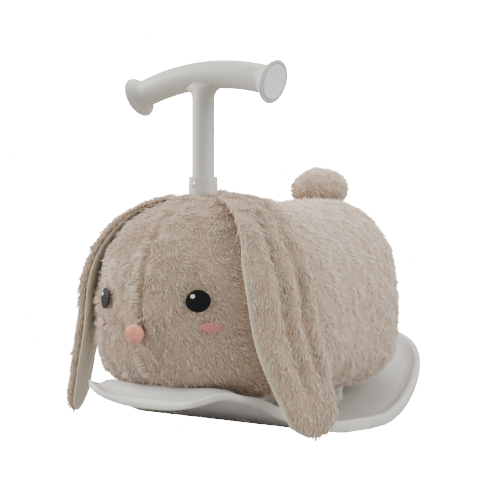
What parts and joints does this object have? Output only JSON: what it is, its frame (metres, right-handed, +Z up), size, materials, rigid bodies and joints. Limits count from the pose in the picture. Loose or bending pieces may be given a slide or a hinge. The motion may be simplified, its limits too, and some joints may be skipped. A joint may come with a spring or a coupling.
{
  "type": "plush ride-on toy",
  "caption": "Plush rabbit ride-on with long hanging ears on a moulded rocker board, steered by a T-shaped handlebar.",
  "frame": {"origin": "on the floor under the flat of the rocker's belly, on the middle plane", "axes": "+Z up, the rabbit faces -Y, +X is the rabbit's own left"},
  "size_m": [0.3624, 0.5209, 0.4168],
  "materials": {
    "taupe_plush": "short-pile plush, matt",
    "cream_velour": "smooth velour lining, matt",
    "warm_white_plastic": "moulded, satin",
    "pale_grey_plastic": "moulded, satin",
    "cap_plastic": "smooth satin",
    "zinc_steel": "zinc plated",
    "core_foam_board": "plain, hidden by the plush",
    "black_thread": "embroidered",
    "pink_thread": "embroidered",
    "coral_felt": "fuzzy pompom"
  },
  "bodies": {
    "base": {"rocker_board": "warm_white_plastic", "inner_core": "core_foam_board", "plush_head": "taupe_plush", "plush_body": "taupe_plush", "tail": "taupe_plush", "left_eye": "black_thread", "right_eye": "black_thread", "left_cheek": "pink_thread", "right_cheek": "pink_thread", "nose": "coral_felt", "handlebar": "pale_grey_plastic", "socket_collar": "pale_grey_plastic", "left_end_cap": "cap_plastic", "right_end_cap": "cap_plastic", "collar_screw": "zinc_steel", "collar_nut": "zinc_steel", "base_bolt_1": "zinc_steel", "insert_nut_1": "zinc_steel", "base_bolt_2": "zinc_steel", "insert_nut_2": "zinc_steel", "base_bolt_3": "zinc_steel", "insert_nut_3": "zinc_steel", "base_bolt_4": "zinc_steel", "insert_nut_4": "zinc_steel"},
    "left_ear": {"left_ear": "taupe_plush", "left_ear_lining": "cream_velour"},
    "right_ear": {"right_ear": "taupe_plush", "right_ear_lining": "cream_velour"}
  },
  "joints": [
    {"name": "left_ear_lift", "type": "hinge", "parent": "base", "child": "left_ear", "pos_m": [0.0275, -0.104, 0.2661], "axis": [0, -1, 0], "range_deg": [0, 50]},
    {"name": "right_ear_lift", "type": "hinge", "parent": "base", "child": "right_ear", "pos_m": [-0.0275, -0.104, 0.2661], "axis": [0, 1, 0], "range_deg": [0, 50]}
  ]
}
